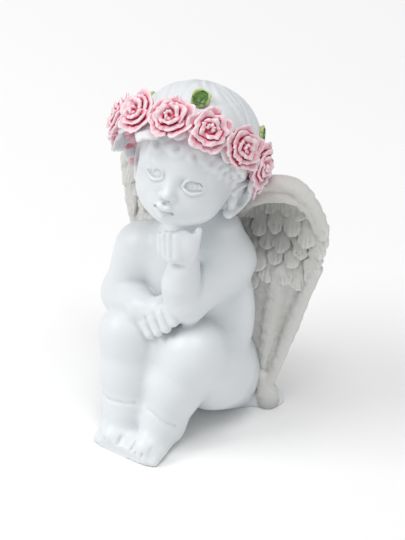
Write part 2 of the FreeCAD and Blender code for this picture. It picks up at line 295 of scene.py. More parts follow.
def make_piece(name, skin, finish, node, spin=None, origin=(0, 0, 0), tone=None):
    """Turn a skin into a Blender mesh that stands for a CAD node."""
    points, faces, crease = skin
    if spin is not None:
        points = points @ np.array(spin).T
    points = points + np.array(origin, float)
    points[:, 2] = np.maximum(points[:, 2], 0)
    mesh = bpy.data.meshes.new(name)
    mesh.vertices.add(len(points))
    mesh.vertices.foreach_set("co", (points * MM).astype(np.float32).ravel())
    mesh.loops.add(faces.size)
    mesh.loops.foreach_set("vertex_index", faces.astype(np.int32).ravel())
    mesh.polygons.add(len(faces))
    mesh.polygons.foreach_set("loop_start", np.arange(0, faces.size, 4, dtype=np.int32))
    mesh.polygons.foreach_set("loop_total", np.full(len(faces), 4, np.int32))
    mesh.update(calc_edges=True)
    mesh.shade_smooth()
    # the crease value is what the body, wing, band and rose colour ramps turn into painted shade
    values = mesh.attributes.new("crease", "FLOAT", "POINT")
    values.data.foreach_set("value", np.clip(crease, 0, 1).astype(np.float32))
    if tone is not None:
        extra = mesh.attributes.new("tone", "FLOAT", "POINT")
        extra.data.foreach_set("value", np.clip(tone, 0, 1).astype(np.float32))
    piece = bpy.data.objects.new(name, mesh)
    bpy.context.scene.collection.objects.link(piece)
    mesh.materials.append(finish)
    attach(piece, "root")
    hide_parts(node)


# ---- the body

HIP = {"left": (12, 11, 21), "right": (-12, 11, 21)}
KNEE = {"left": (15.5, -5.5, 38), "right": (-12, -10, 38.5)}
CALF = {"left": (11.0, -11.5, 23.5), "right": (-9.6, -15, 24)}
ANKLE = {"left": (8.8, -17, 11), "right": (-6.6, -20.3, 11)}
BALL_OF_FOOT = {"left": (10.0, -25.6, 4.4), "right": (-4.6, -26.4, 4.4)}
SHOULDER = {"left": (18.3, 13, 72.5), "right": (-19.5, 6, 67)}
ELBOW = {"left": (12.0, -5.5, 60.3), "right": (-23.5, 1, 47.5)}
WRIST = {"left": (13.2, -7.5, 80), "right": (-7.5, -8.5, 51.5)}


def between(a, b, share):
    """A point part of the way from a to b."""
    return np.array(a, float) * (1 - share) + np.array(b, float) * share


def press(clay, line, depth, width):
    """Push the surface in along a line, or raise it where depth is negative."""
    track = string(line, 0.0)
    where, grid = clay.window(track, 3 * width)
    gap = track.distance(*grid)
    clay.field[where] += (depth * np.exp(-(gap / width) ** 2)).astype(np.float32)


def crease_round(clay, centre, normal, reach, depth, width):
    """A fold line where a plane meets the skin near a centre."""
    n = np.array(normal, float) / np.linalg.norm(normal)
    c = np.array(centre, float)
    where, (x, y, z) = clay.window(egg(centre, reach), 0)
    plane = (x - c[0]) * n[0] + (y - c[1]) * n[1] + (z - c[2]) * n[2]
    away = np.sqrt((x - c[0]) ** 2 + (y - c[1]) ** 2 + (z - c[2]) ** 2) / reach
    fade = np.clip((1 - away) * 4, 0, 1)
    clay.field[where] += (depth * fade * np.exp(-(plane / width) ** 2)).astype(np.float32)


def sculpt_torso(clay):
    """Pelvis, belly, chest, broad back, shoulders and neck."""
    clay.add(egg((0, 18, 17), (21, 15.5, 18)))
    clay.add(egg((1, 14.5, 36), (19, 15.2, 19)), 8)
    clay.add(egg((1, 10, 58), (18, 13.2, 18)), 8)
    clay.add(egg((2.5, 16.5, 48), (24.5, 10.5, 35)), 6)
    clay.add(string([(-15, 7, 69), (15, 12, 73)], 9), 8)
    clay.add(rod((1, 10, 76), (3, 8.5, 95), 9.8, 9), 6)
    for side in (1, -1):
        clay.add(egg((side * 10.4, 20, 14.5), (15, 13.5, 17)), 6)
        clay.add(egg((side * 10 + 1, 17, 66), (8, 6, 10)), 6)
    clay.add(egg((14, 13.5, 83), (8.5, 8, 9)), 5)
    press(clay, curve([(1, 27.5, 72), (1, 28.5, 60), (0.5, 29, 46), (0, 32, 32)]), 0.9, 2.5)
    press(clay, curve([(0, 33, 30), (0, 34, 20), (0, 32, 8), (0, 28, 0)]), 2.2, 1.8)


def sculpt_leg(clay, side):
    """Thigh, shin and foot of one leg."""
    wide = 17 if side == "left" else 16
    clay.add(rod(HIP[side], KNEE[side], wide, 11.8), 5)
    clay.add(rod(KNEE[side], CALF[side], 11.6, 10.8), 4)
    clay.add(rod(CALF[side], ANKLE[side], 10.6, 9.0), 3)
    heel = between(ANKLE[side], (ANKLE[side][0], ANKLE[side][1] + 3, 2), 0.6)
    clay.add(egg(heel, (7.2, 7, 6.6)), 3)
    clay.add(rod(ANKLE[side], BALL_OF_FOOT[side], 8.6, 5.8), 3)
    wide = 6.6 if side == "left" else 8.2
    clay.add(egg(BALL_OF_FOOT[side], (wide, 8.5, 5.2)), 3)


def sculpt_toes(clay, side):
    """Five short toes, barely parted, cut nearly straight across at the tips."""
    inward = -1 if side == "left" else 1
    pitch = 2.6 if side == "left" else 3.2
    x, y, _ = BALL_OF_FOOT[side]
    for number in range(5):
        across = inward * pitch * (1.95 - number)
        size = 2.7 - 0.2 * number
        tip = y - 6.9 - 1.0 * math.sin(math.pi * (number + 0.6) / 5) + 0.3 * number
        toe = rod((x + across, y - 2, 4.2), (x + across * 1.04, tip, size * 0.9), size + 0.6, size)
        clay.add(toe, 1.6)
    for number in range(4):
        gap = inward * pitch * (1.45 - number)
        line = [(x + gap, y - 9.3, 0), (x + gap, y - 9.0, 3), (x + gap, y - 7.0, 5.4), (x + gap, y - 5.5, 7)]
        press(clay, curve(line), 0.95 - 0.1 * number, 0.5)


def sculpt_arm(clay, side):
    """Upper arm and forearm of one arm."""
    wide = 10.2 if side == "left" else 10
    clay.add(rod(SHOULDER[side], ELBOW[side], wide, 8.3), 5)
    if side == "left":
        middle = between(ELBOW[side], WRIST[side], 0.42) + (-1.6, -0.6, 0)
        clay.roll(curve([ELBOW[side], middle, WRIST[side]], 5), 8.3, 7.9, 5.2, 0.8)
    else:
        clay.add(rod(ELBOW[side], WRIST[side], 9.5, 6.3), 2.5)


def part_fingers(clay, roots, tips, root_step, tip_step, depth, width, dimple=None):
    """Grooves between neighbouring fingers, with a dimple at the top of each if asked."""
    for one, two, tip_one, tip_two in zip(roots, roots[1:], tips, tips[1:]):
        start = between(one, two, 0.5) + root_step
        end = between(tip_one, tip_two, 0.5) + tip_step
        press(clay, curve([start, between(start, end, 0.5) + (0, -0.5, 0), end]), depth, width)
        if dimple:
            clay.cut(egg(start + (-0.3, 0.1, 0.5), dimple), 0.3)


RIGHT_KNUCKLES = [(-2.4, -12.6, 48.6), (1.6, -12.8, 52.3), (5.4, -12.4, 55.6), (8.0, -11.6, 58.0)]
RIGHT_TIPS = [(0.6, -14.0, 45.6), (4.8, -14.2, 48.4), (8.6, -14.0, 51.4), (11.2, -12.8, 54.6)]


def sculpt_right_hand(clay):
    """The hand lying over the knees, a mitten of four fingers parted by grooves."""
    clay.add(egg((0.3, -9.3, 52.8), (7.6, 5.2, 6.0), turn("y", -40)), 3)
    for knuckle, tip in zip(RIGHT_KNUCKLES, RIGHT_TIPS):
        clay.roll(curve([between(knuckle, (0, -9, 53), 0.35), knuckle, tip], 4), 2.6, 2.6, 2.2, 1.5)
    part_fingers(clay, RIGHT_KNUCKLES, RIGHT_TIPS, (-0.6, -2.0, 1.4), (1.1, -1.9, -1.4), 1.0, 0.5, 0.75)
    knuckles = [np.array(k) + (-1.3, -2.3, 1.4) for k in RIGHT_KNUCKLES]
    press(clay, curve(knuckles), 0.55, 0.55)
    # thumb
    clay.roll(curve([(2, -6.5, 57), (6, -7.5, 59), (10.5, -8.5, 58)], 4), 2.6, 2.6, 1.8, 1.5)


LEFT_TIPS = [(4.6, -11.6, 89.6), (7.0, -12.2, 91.6), (9.6, -12.2, 92.2), (12.3, -11.6, 91.8)]
LEFT_ROOTS = [(6.4, -12.6, 84.6), (8.6, -13.2, 83.8), (11.0, -13.2, 83.6), (13.2, -12.4, 84.4)]


def sculpt_left_hand(clay):
    """The cupped hand under the chin, stubby fingers in front and the heel behind."""
    clay.add(egg((11.2, -9.2, 84.6), (5.6, 4.6, 5.2)), 2)
    for root, tip in zip(LEFT_ROOTS, LEFT_TIPS):
        clay.roll(curve([between(root, (11, -8.5, 82.5), 0.4), root, tip], 4), 2.3, 2.1, 1.55, 0.9)
    underside = [(4, -10, 83), (7.4, -13, 80.6), (11.4, -13.4, 79.6), (15.2, -11.6, 80.4)]
    press(clay, curve([clay.land((11, -7, 81), place) for place in underside], 4), 0.9, 1.3)
    part_fingers(clay, LEFT_ROOTS, LEFT_TIPS, (0, -2.2, 0.2), (0, -1.2, 2.0), 1.1, 0.45)
    # heel of the hand, and the web between it and the fingers
    clay.roll(curve([(14.6, -7.5, 81), (17.2, -7.8, 87), (19.6, -7.6, 95.5)], 4), 3.4, 2.2, 1.3, 1.2)
    clay.add(egg((14.4, -10.0, 88.0), (5.4, 2.8, 7.2), turn("z", 8)), 1.8)


# Front limit of the toes, which end in one plane.
TOE_LIMIT = -34.6
# Fold across the front of each ankle: a point inside the leg, then the fold.
ANKLE_FOLDS = (
    ((9.5, -15.8, 15), [(6.4, -24.6, 18.8), (9.8, -25.3, 18.5), (14, -23.8, 15.8), (17.8, -20.6, 12.8)]),
    ((-8.7, -16.6, 17.5), [(-15, -24.2, 18.2), (-9.6, -26.9, 18.2), (-5, -26, 18.4), (-1, -22.8, 18)]),
)


def sculpt_body():
    """Torso, limbs and hands as one casting, flat under the seat and feet."""
    clay = Clay((-38, -42, -2.4), (36, 40, 104), step=0.62)
    sculpt_torso(clay)
    for side in ("left", "right"):
        sculpt_leg(clay, side)
    # flesh between the legs from the ankles to the knees, and the notch between the feet
    between_legs = [(1.6, -19.5, 6), (1.8, -16.5, 13), (2, -14, 20), (2.5, -9, 33), (3.5, -7, 42)]
    clay.add(string(between_legs, [4.6, 4.8, 5, 6, 6.4]), 4)
    clay.cut(egg((3.0, -36.5, 2), (2.0, 6.0, 6)), 1.5)
    for side in ("left", "right"):
        sculpt_toes(clay, side)
        sculpt_arm(clay, side)
    for start, fold in ANKLE_FOLDS:
        line = [clay.land(start, place) for place in curve(fold, 5)]
        press(clay, line, 0.75, 0.5)
    crease_round(clay, (1, 2, 34), (0, 0.35, 1), 17, 0.7, 1.2)
    sculpt_right_hand(clay)
    sculpt_left_hand(clay)
    # wedges that carry the wings' feet
    for side in (1, -1):
        clay.add(string([(side * 14, 24, 1), (side * 27, 31, 1)], [7, 4.5]), 3)
    clay.trim(Z_AXIS, 0)
    clay.trim(Y_AXIS, TOE_LIMIT)
    return clay.skin(reach=1.4)


# ---- the head

HEAD_CENTRE = (3.8, 8.2, 115.0)
HEAD_SPIN = turn("z", 18) @ turn("y", 13) @ turn("x", -12)
FACE_CENTRE = (1.4, -5, -7)
FACE_SIZE = (17.4, 17.5, 17.5)
# Middle line of the features, and the height of the eyes and half their distance.
MIDLINE = 0.6
EYE_HEIGHT = -3.1
EYE_APART = 7.8
# Middle and half sizes of the hair that the garland lies on, and the garland's slant.
HAIR_CENTRE = (0, 3.0, 3.4)
HAIR_SIZE = (22.8, 22.6, 22.4)
GARLAND_TILT = 37
GARLAND_LEAN = 3.6


def on_face(x, z, out=0.0):
    """A point on the front of the face, raised by out."""
    sideways = ((x - FACE_CENTRE[0]) / FACE_SIZE[0]) ** 2
    upward = ((z - FACE_CENTRE[2]) / FACE_SIZE[2]) ** 2
    depth = FACE_SIZE[1] * math.sqrt(max(0.0, 1 - sideways - upward))
    return (x, FACE_CENTRE[1] - depth - out, z)


def face_line(*spots):
    """Points on the face, each given as for on_face."""
    return [on_face(*spot) for spot in spots]


def sculpt_skull(clay):
    """Head mass, face, cheeks, jaw, chin and forehead."""
    clay.add(egg((0.5, 3, 3), (20.5, 21.5, 20.5)))
    clay.add(egg(FACE_CENTRE, FACE_SIZE), 5)
    clay.add(egg((8.4, -11.8, -11.2), 8.4), 5)
    clay.add(egg((-5.9, -11.5, -11.4), 7.7), 5)
    clay.add(egg((0.7, -12.5, -15.5), (9, 8, 6.6)), 5)
    clay.add(egg((0.7, -17.6, -18.4), (4, 3.2, 3.2)), 3)
    clay.add(egg((0.5, -16, 4), (13, 6.5, 10)), 6)


def sculpt_nose_and_mouth(clay):
    """Small button nose and closed, full lips."""
    clay.add(string([(0.5, -20.8, -3.0), (0.5, -21.9, -6.0), (0.5, -23.3, -9.0)], [0.7, 1.0, 2.0]), 2.6)
    for side in (1, -1):
        clay.add(egg((0.4 + side * 2.1, -22.1, -9.6), (1.3, 1.5, 1.2)), 0.8)
        clay.cut(egg((0.4 + side * 1.3, -23.4, -11.0), (0.75, 0.9, 0.5)), 0.3)
    clay.add(egg((0.6, -18.6, -14.4), (6.6, 4.4, 4.4)), 3)
    upper = face_line((-2.9, -14.4, 1.0), (-1.0, -13.5, 2.6), (0.6, -14.0, 2.6), (2.2, -13.8, 2.6),
                      (4.0, -14.9, 1.0))
    clay.roll(curve(upper, 3), 0.8, 1.5, 0.8, 0.8)
    lower = face_line((-2.2, -16.1, 1.3), (0.6, -16.9, 2.7), (3.3, -16.6, 1.3))
    clay.roll(curve(lower, 3), 1.0, 1.9, 1.0, 0.8)
    parting = face_line((-3.6, -14.8, 1.4), (-1.2, -14.9, 3.4), (0.6, -15.3, 3.4), (2.3, -15.2, 3.4),
                        (4.7, -15.5, 1.4))
    press(clay, curve(parting, 4)[1:-1], 1.2, 0.5)
    for corner in face_line((-3.7, -14.7, 0.9), (4.8, -15.4, 0.9)):
        press(clay, [corner, between(corner, (0, -5, -7), 0.05)], 0.5, 0.9)
    # under the lower lip, and the groove above the upper one
    press(clay, face_line((-1.0, -18.7, 1.6), (2.2, -18.8, 1.6)), 1.0, 1.1)
    press(clay, face_line((0.6, -12.3, 2.2), (0.6, -11.0, 2.0)), 0.5, 0.8)


def sculpt_eye(clay, side):
    """Almond eye: smooth ball, raised lid rims, carved iris and pupil."""
    x = MIDLINE + side * EYE_APART
    z = EYE_HEIGHT

    def spots(*places):
        return face_line(*[(MIDLINE + side * across, z + up, out) for across, up, out in places])

    press(clay, spots((4.6, -0.2, 0), (9.6, -0.2, 0)), 0.9, 2.8)
    clay.add(egg(np.array(on_face(x, z)) + (0, 3.3, 0), (4.3, 3.6, 3.2)), 0.8)
    press(clay, spots((3.4, 1.4, 0), (3.6, -0.6, 0)), 0.4, 1.6)
    inner = (3.9, -1.0, -0.4)
    outer = (11.8, -0.7, 0.2)
    upper = spots(inner, (5.4, 2.0, 0.8), (EYE_APART, 3.0, 1.0), (10.2, 2.0, 0.9), outer)
    lower = spots(inner, (5.7, -2.0, 0.3), (EYE_APART, -2.6, 0.5), (10.1, -2.0, 0.4), outer)
    clay.roll(curve(upper, 4), 0.55, 0.95, 0.55, 0.15)
    clay.roll(curve(lower, 4), 0.5, 0.8, 0.5, 0.15)
    for rim, inset in ((upper, -0.85), (lower, 0.8)):
        press(clay, curve(rim, 4)[3:-3] + (0, 0, inset), 0.6, 0.42)
    iris = [on_face(x + 1.6 * math.cos(a), z - 0.1 + 1.55 * math.sin(a), 0.55)
            for a in np.linspace(0, 2 * math.pi, 17)]
    press(clay, iris, 0.65, 0.36)
    press(clay, face_line((x, z, 0.5), (x, z - 0.2, 0.5)), 1.0, 0.5)
    fold = spots((4.6, 3.2, 0.2), (EYE_APART, 4.1, 0.3), (11.2, 3.0, 0.2))
    press(clay, curve(fold, 4), 0.45, 0.6)


def sculpt_ear(clay, side):
    """Rim, bowl and lobe of one ear."""
    rim = [(20.2, -3.4, -6.5), (22.4, -1.6, -3.2), (24.2, 2.4, -2.6), (24.8, 5.0, -6.0),
           (23.8, 4.2, -10.6), (21.8, 1.4, -14.6), (20.4, -1.2, -16)]
    # the right ear sits further in, where the cheek is slimmer
    inset = (0, 0, 0) if side == 1 else (3.6, 2.5, 0)

    def place(x, y, z):
        return np.array((side * x, y, z)) + inset

    clay.add(egg(place(20.4, 1.2, -8.8), (2.4, 4.8, 7.2)), 1)
    clay.roll(curve([place(*point) for point in rim], 4), 1.0, 1.6, 2.1, 0.8)
    clay.cut(egg(place(23.4, 0.8, -8.2), (2.3, 2.6, 4.6)), 0.8)
    clay.add(egg(place(20.6, -2.2, -10), (1.6, 1.4, 2)), 0.6)


def ring_point(angle, rise, lift):
    """A point on the head near the garland: angle round it, rise above its plane."""
    around = turn("x", -GARLAND_TILT) @ turn("z", angle) @ turn("x", -rise)
    direction = around @ (0, -1.0, 0)
    reach = 1 / math.sqrt(sum((direction / HAIR_SIZE) ** 2))
    return HAIR_CENTRE + direction * (reach + lift)


def sculpt_hair(clay):
    """Smooth combed crown above the garland with curls under it and down the nape."""
    cap = egg((0, 4.6, 5.6), (23.8, 23.4, 21.6))
    tilt = turn("x", -GARLAND_TILT) @ (0, 0, 1.0)

    def trimmed(x, y, z):
        above = x * tilt[0] + (y - HAIR_CENTRE[1]) * tilt[1] + (z - HAIR_CENTRE[2]) * tilt[2]
        return np.maximum(cap.distance(x, y, z), -5 - above)

    clay.add(Shape(cap.low, cap.high, trimmed), 6)
    rng = np.random.default_rng(4)
    # combed strands from the crown to the garland
    for number in range(34):
        angle = number * 360 / 34 + rng.uniform(-5, 5)
        drift = rng.uniform(-22, 22)
        top = rng.uniform(60, 86)
        line = [ring_point(angle + drift * (t - 0.2) + 5 * math.sin(5 * t + number) - 50 * (1 - t) ** 2,
                           top - (top - 4) * t, 1.2) for t in np.linspace(0, 1, 8)]
        press(clay, curve(line, 2), rng.uniform(0.25, 0.6), rng.uniform(0.8, 1.3))
    # curls on the forehead
    core = ring_point(0, 0, -24)
    for number in range(9):
        angle = -24 + 13 * number + rng.uniform(-4, 4)
        low = -21.5 - rng.uniform(0, 3.5)
        swirl = rng.uniform(0, 3)
        line = []
        for a in np.linspace(0, 5.5, 7):
            wide = 6 - 0.5 * a
            place = ring_point(angle + wide * math.cos(a + swirl), low + wide * math.sin(a + swirl), 0)
            line.append(clay.land(core, place) - 0.5 * (place - core) / 24)
        clay.roll(curve(line, 3), 1.5, 1.1, 0.5, 1.8)
    # fuller hair behind the ears, then locks all round except over the right temple
    clay.add(egg((15, 11, -12), (7, 8, 9)), 3)
    clay.add(egg((-14, 11, -12), (7, 8, 9)), 3)
    for number in range(28):
        angle = number * 360 / 28 + rng.uniform(-4, 4)
        turned = (angle + 180) % 360 - 180
        front = abs(turned)
        if -125 < turned < -38:
            continue
        drop = rng.uniform(10, 13) if front < 100 else 21
        swirl = rng.choice((-1, 1)) * rng.uniform(5, 9)
        inset = -2.4 if front < 120 else 0
        lock = [ring_point(angle, -4, 1.0 + inset), ring_point(angle + swirl, -drop * 0.55, 1.5 + inset),
                ring_point(angle + swirl * 0.4, -drop, 1.3 + inset),
                ring_point(angle - swirl * 0.3, -drop + 3, 1.2 + inset)]
        line = curve(lock, 5)
        clay.roll(line, 2.0, 2.1, 0.8, 1.0)
        press(clay, line * 1.02 + (0, 0, 0.2), 0.35, 0.4)


def sculpt_head():
    """Face, ears and hair as one casting, in the head's own frame."""
    clay = Clay((-29, -29, -29), (29, 33, 31), step=0.38)
    sculpt_skull(clay)
    sculpt_hair(clay)
    sculpt_nose_and_mouth(clay)
    for side in (1, -1):
        sculpt_eye(clay, side)
        sculpt_ear(clay, side)
    return clay.skin(reach=0.9)


# ---- the wings

WING_ROOT = (0, 23.2, 0)
WING_SWEEP = 15


def round_join(a, b, radius):
    """Overlap of two distance fields with a rounded edge."""
    outside = np.sqrt(np.maximum(a + radius, 0) ** 2 + np.maximum(b + radius, 0) ** 2)
    return outside + np.minimum(np.maximum(a + radius, b + radius), 0) - radius


def slab(outline, front, back):
    """A plate with a closed outline in x and z, between two depths."""
    p = np.array(outline, float)

    def distance(x, y, z):
        nearest = None
        inside = np.zeros(np.broadcast(x, z).shape, bool)
        for a, b in zip(p, np.roll(p, -1, 0)):
            e = b - a
            t = np.clip(((x - a[0]) * e[0] + (z - a[1]) * e[1]) / max(e @ e, 1e-9), 0, 1)
            d = (x - a[0] - t * e[0]) ** 2 + (z - a[1] - t * e[1]) ** 2
            nearest = d if nearest is None else np.minimum(nearest, d)
            crosses = (a[1] > z) != (b[1] > z)
            slope = (b[0] - a[0]) / (b[1] - a[1] if b[1] != a[1] else 1e-9)
            inside ^= crosses & (x < a[0] + slope * (z - a[1]))
        edge = np.where(inside, -1, 1) * np.sqrt(nearest)
        return round_join(edge, np.abs(y - (front + back) / 2) - abs(back - front) / 2, 1.2)

    low = (p[:, 0].min(), min(front, back), p[:, 1].min())
    high = (p[:, 0].max(), max(front, back), p[:, 1].max())
    return Shape(low, high, distance)


def feather(root, tip, half_width, root_depth, tip_depth, thick, grooves, seed):
    """A round-tipped feather in x and z, crowned, with a carved shaft and barbs fanning to the tip."""
    rng = np.random.default_rng(seed)
    a = np.array(root, float)
    b = np.array(tip, float)
    length = np.linalg.norm(b - a)
    d = (b - a) / length
    lines = np.array((-0.68, -0.36, 0.02, 0.38, 0.7)) + rng.uniform(-0.09, 0.09, 5)
    depths = grooves * rng.uniform(0.5, 1.1, 5)

    def distance(x, y, z):
        along = (x - a[0]) * d[0] + (z - a[1]) * d[1]
        across = (x - a[0]) * d[1] - (z - a[1]) * d[0]
        t = np.clip(along / length, 0, 1)
        straight = np.clip(along, 0, length - half_width)
        flat = np.sqrt((along - straight) ** 2 + across ** 2) - half_width
        spread = across / half_width
        middle = root_depth + (tip_depth - root_depth) * t + 0.7 * np.minimum(spread ** 2, 1)
        fan = 0.25 + 0.75 * t
        carved = 0
        for place, depth in zip(lines, depths):
            carved = carved + depth * np.exp(-((spread - place * fan) * half_width / 0.36) ** 2)
        carved = carved * np.clip(3 * t - 0.9, 0, 1)
        return round_join(flat, np.abs(y - middle) - thick / 2 + carved, 0.35)

    reach = half_width + 0.5
    ends = (root_depth, tip_depth)
    low = (min(a[0], b[0]) - reach, min(ends) - thick, min(a[1], b[1]) - reach)
    high = (max(a[0], b[0]) + reach, max(ends) + thick + 0.8, max(a[1], b[1]) + reach)
    return Shape(low, high, distance)


WING_EDGE = [(8, 80), (12.5, 91), (19.5, 99.8), (28.5, 105.2), (37.5, 104.8), (44.3, 99.2), (48.0, 91),
             (49.2, 82), (47.6, 70), (43.0, 57), (38.8, 43), (34.0, 29), (29.8, 15), (28.6, 10),
             (31.2, 4), (30.4, -2), (22.5, -2), (21.0, 8), (18.5, 25), (13, 42), (8, 60)]
# Long grooves of the lower wing: depth, width and the line of each.
WING_GROOVES = (
    (0.6, 0.5, [(38.5, -4.8, 60), (34.5, -4.6, 50), (30.4, -4.4, 35), (27.6, -4.6, 22), (26, -4.8, 13)]),
    (0.25, 0.9, [(24.5, -3.4, 60), (24, -3.6, 44), (23.4, -4, 28), (24, -4.4, 14)]),
    (0.15, 0.7, [(31, -4.2, 62), (28.6, -4.2, 48), (26.4, -4.2, 34)]),
)


def sculpt_wing():
    """The left wing in its own plane: rolled rim, rows of short feathers, long ones below."""
    rng = np.random.default_rng(11)
    clay = Clay((3, -9.5, -2.1), (55, 2.4, 110), step=0.42)
    edge = curve([(x, 0, z) for x, z in WING_EDGE + WING_EDGE[:1]], 5)[:-1]
    clay.add(slab([(x, z) for x, _, z in edge], -2.8, -0.6))
    # long smooth feathers below, thicker towards the outer edge
    margin = [(46.5, -3.0, 68), (41.5, -3.2, 54), (37.0, -3.4, 40), (32.6, -3.4, 26), (28.6, -3.4, 13)]
    clay.roll(curve(margin, 5), 2.0, 2.6, 1.8, 2.5)
    clay.add(string(curve([(31, -1.6, 64), (28, -1.8, 42), (25.5, -2.2, 20)], 5), 2.6), 3)
    for depth, width, groove in WING_GROOVES:
        press(clay, curve(groove, 5), depth, width)
    # short feathers that notch the outer edge
    for number in range(6):
        share = number / 5
        tip = (49.6 - 5.0 * share ** 1.6 + rng.uniform(-0.4, 0.4), 82.5 - 21 * share)
        root = (tip[0] - 2.8 + 1.5 * share, tip[1] + 9)
        clay.add(feather(root, tip, 2.3, -3.2, -3.9 - 0.6 * rng.uniform(), 2.4, 0.4, number), 0.3)
    # rows of short feathers, the upper ones lying over the lower
    for row in range(5):
        for number in range(5):
            x = 16.8 + 6.4 * number + (3.1 if row % 2 == 0 else 0) + rng.uniform(-0.5, 0.5)
            height = 90.5 - 8.0 * row - 0.03 * (x - 32) ** 2 + rng.uniform(-1.3, 1.3)
            if x > 45.5 - 1.2 * row:
                continue
            lean = 0.10 * (x - 30) / 10 + rng.uniform(-0.12, 0.12)
            tip = (x + 8 * lean, height)
            root = (x - 3 * lean, height + 10.5)
            depth = -3.6 - 0.38 * (4 - row) + (1.3 if row == 0 else 0)
            wide = rng.uniform(3.1, 3.7)
            clay.add(feather(root, tip, wide, depth + 1.9, depth - 0.7, 1.7, 0.6, number + 5 * row), 0.2)
    # rolled rim in two flat layers
    inner = [(12, -3.4, 83), (17.5, -4.0, 91), (24, -4.6, 96.0), (31.5, -4.9, 98.6), (38.5, -4.9, 97.8),
             (43.4, -4.4, 93.2), (46.0, -3.9, 87)]
    clay.roll(curve(inner, 5), 2.2, 2.6, 1.4, 1.6)
    outer = [(10, -3.0, 84), (15.5, -3.4, 94), (21.5, -3.6, 99.6), (29.5, -3.8, 102.6), (37.6, -3.8, 102.0),
             (43.4, -3.6, 97.4), (46.8, -3.2, 90.5), (48.0, -2.8, 84)]
    clay.roll(curve(outer, 5), 2.8, 3.3, 1.6, 1.6)
    step = [(17.5, -6.6, 95), (23, -7.2, 98.6), (30.5, -7.4, 100.9), (37.8, -7.3, 100.2), (43.2, -6.8, 96),
            (46, -6.0, 90)]
    press(clay, curve(step, 6), 0.55, 0.45)
    # rounded edge next to the back
    inside_edge = [(8, -2.6, 78), (8.5, -2.8, 66), (12, -3, 46), (18, -3.2, 26), (22.5, -3.4, 12)]
    clay.add(string(curve(inside_edge, 5), 2.3), 1.2)
    # foot that the wing stands on
    clay.add(egg((26.8, -3.6, 4.5), (4.7, 3.3, 7.0)), 2)
    clay.add(rod((25.5, -3.4, 15), (26.8, -3.6, 3), 2.8, 3.2), 1.5)
    clay.trim(Z_AXIS, 0)
    # feathers on the back
    for number in range(8):
        share = number / 7
        top = (12 + 4.2 * number, 0.2, 84 + 6 * math.sin(math.pi * share))
        middle = (16 + 3.8 * number, 0.2, 55 + 10 * share)
        tip = (23 + 2.9 * number, 0.2, 12 + 38 * share)
        press(clay, curve([top, middle, tip], 5), 0.6, 0.9)
    points, faces, crease = clay.skin(reach=0.8)
    points = points + 0.16 * waves(points, 5, 21)[:, None] + 0.06 * waves(points, 1.8, 22)[:, None]
    # painted shade in the hollow under the rim and darker towards the foot, on the front only
    x, y, z = points.T
    hollow = np.exp(-(((x - 27) / 15) ** 2 + ((z - 84) / 15) ** 2) ** 1.5)
    tone = (hollow * np.clip((y + 8.2) / 3.5, 0, 1) + 0.5 * np.clip((6 - z) / 6, 0, 1)) * (y < -1.2)
    return (points, faces, crease), tone


def mirrored(skin):
    """The same skin seen in a mirror across x = 0."""
    points, faces, crease = skin
    return points * np.array((-1, 1, 1)), faces[:, ::-1], crease


# ---- the garland

RING_MIDDLE = (-1.2, 0.5, 3.0)
RING_SPIN = HEAD_SPIN @ turn("y", -GARLAND_LEAN) @ turn("x", -GARLAND_TILT)
RING_FLAT = 26.8
ROSE_COUNT = 12
ROSE_FIRST = 21
LEAF_COUNT = 4
LEAF_FIRST = 1
LEAF_RISE = 20.5


def ring_origin():
    """The middle of the garland in the frame."""
    return HEAD_CENTRE + HEAD_SPIN @ RING_MIDDLE


def petal(angle, low_radius, rim, height, half_angle, thick, wobble):
    """One cupped petal with a wavy rim, centred on an angle about the axis."""
    c, s = math.cos(angle), math.sin(angle)

    def distance(x, y, z):
        forward = x * c + y * s
        sideways = y * c - x * s
        radius = np.sqrt(forward ** 2 + sideways ** 2)
        around = np.arctan2(sideways, forward)
        spread = around / half_angle
        t = np.clip(z / height, 0, 1.2)
        point = 1 + 0.03 * (1 - np.minimum(np.abs(spread), 1)) + 0.05 * np.sin(5 * around + wobble)
        cup = low_radius + (rim * point - low_radius) * t ** 1.8 + 0.45 * spread
        top = height * (1.05 - 0.26 * np.minimum(spread ** 2, 2) + 0.06 * np.sin(7 * around + wobble))
        wall = np.abs(radius - cup) * 0.8 - thick / 2
        ends = (np.abs(around) - half_angle) * radius
        return round_join(round_join(wall, z - top, thick * 0.45), ends, thick * 0.4)

    reach = max(low_radius, rim * 1.15) + thick
    return Shape((-reach, -reach, -0.5), (reach, reach, height * 1.2 + thick), distance)


def sculpt_rose(number):
    """A moulded rose: layers of petals wound round a bud; z points out of the flower."""
    rng = np.random.default_rng(100 + number)
    clay = Clay((-9.6, -9.6, -0.6), (9.6, 9.6, 7.4), step=0.3)
    clay.add(egg((0, 0, 0.2), (6.6, 6.6, 1.5)))
    clay.add(egg((0, 0, 1), (3.6, 3.6, 2.4)), 0.5)
    # petals per layer, low radius, rim radius, height, half angle in degrees, thickness
    layers = (
        (5, 5.4, 7.8, 2.9, 46, 1.9),
        (4, 3.8, 5.6, 4.2, 58, 1.6),
        (3, 2.2, 3.5, 5.0, 72, 1.3),
    )
    start = rng.uniform(0, 2 * math.pi)
    for count, low_radius, rim, height, half, thick in layers:
        start += 0.7 + rng.uniform(-0.3, 0.3)
        for index in range(count):
            angle = start + index * 2 * math.pi / count + rng.uniform(-0.22, 0.22)
            grow = 1 + rng.uniform(-0.07, 0.07)
            tall = height * (1 + rng.uniform(-0.12, 0.1))
            wobble = rng.uniform(0, 6)
            clay.add(petal(angle, low_radius, rim * grow, tall, math.radians(half), thick, wobble), 0.15)
    clay.add(petal(start, 0.7, 1.35, 5.3, math.radians(135), 1.0, 0), 0.1)
    clay.trim(Z_AXIS, 0)
    points, faces, crease = clay.skin(reach=0.75)
    grain = waves(points, 3.5, number)[:, None] * 0.22 + waves(points, 1.3, number + 50)[:, None] * 0.10
    return points + grain * (1, 1, 0.7), faces, crease


